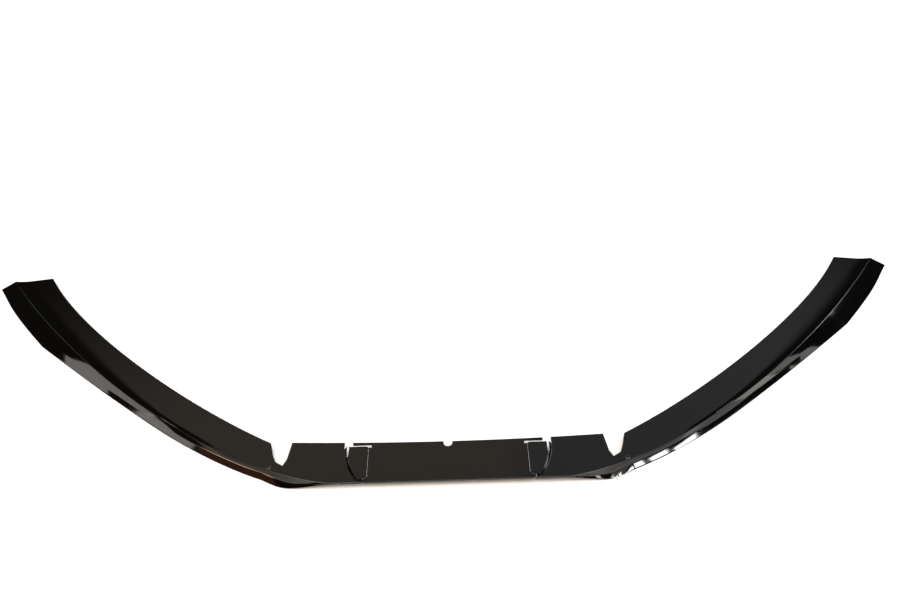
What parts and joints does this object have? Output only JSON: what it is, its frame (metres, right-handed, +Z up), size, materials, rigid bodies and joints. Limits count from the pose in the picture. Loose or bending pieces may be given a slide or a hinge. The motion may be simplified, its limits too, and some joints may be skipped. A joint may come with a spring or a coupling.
{
  "type": "front splitter lip",
  "caption": "Low front lip for a car bumper: a flat centre section with a swept, upturned wing lapped on to each end and screwed from below.",
  "frame": {"origin": "under the middle of the outline, at the height of the wings' foot edges", "axes": "+X along the lip, -Y towards the front of the car, +Z up"},
  "size_m": [1.7514, 0.5146, 0.016],
  "materials": {
    "gloss_black": "gloss",
    "screw": "satin"
  },
  "bodies": {
    "root": {"centre_section": "gloss_black", "left_wing": "gloss_black", "right_wing": "gloss_black", "left_joint_screws": "screw", "right_joint_screws": "screw"}
  },
  "joints": []
}
